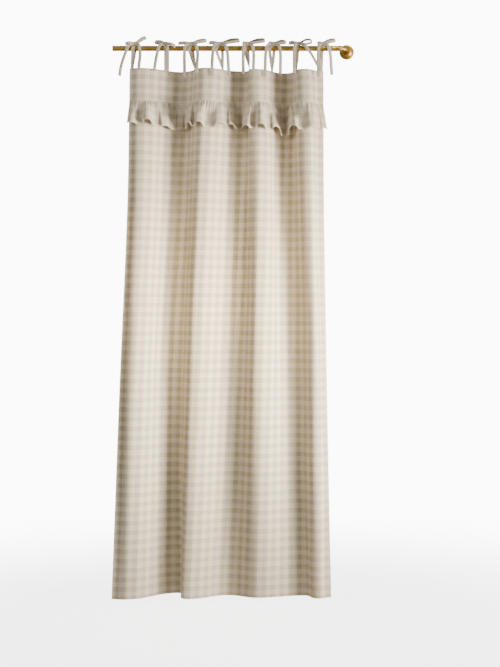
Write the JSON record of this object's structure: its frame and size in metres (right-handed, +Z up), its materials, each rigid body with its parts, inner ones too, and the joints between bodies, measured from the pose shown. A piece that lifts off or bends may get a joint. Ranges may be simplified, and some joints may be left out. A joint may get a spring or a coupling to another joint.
{
  "type": "ruffled curtain with rod",
  "caption": "Sheer check-cloth curtain panel with a gathered ruffle below its heading, hung by tied fabric bows from a straight brass rod that turns back to a round wall flange",
  "frame": {"origin": "middle of the wall flange's back face, where the rod's return meets the wall", "axes": "+X to the viewer's right along the rod, +Y into the wall, +Z up; the curtain hangs down along -Z"},
  "size_m": [0.9795, 0.1845, 2.2718],
  "materials": {
    "check_cloth": "sheer woven cotton and linen in a cream and beige check",
    "ruffle_cloth": "the panel's check cloth, gathered, with a pale turned hem",
    "strap_cloth": "narrow folded and stitched strap of the same cloth",
    "brass": "brushed antique brass, a little darker along the rod"
  },
  "bodies": {
    "root": {"panel": "check_cloth", "ruffle": "ruffle_cloth", "tie_1": "strap_cloth", "tie_2": "strap_cloth", "tie_3": "strap_cloth", "tie_4": "strap_cloth", "tie_5": "strap_cloth", "tie_6": "strap_cloth", "tie_7": "strap_cloth", "tie_8": "strap_cloth", "rod": "brass", "rod_return": "brass", "wall_flange": "brass"}
  },
  "joints": []
}
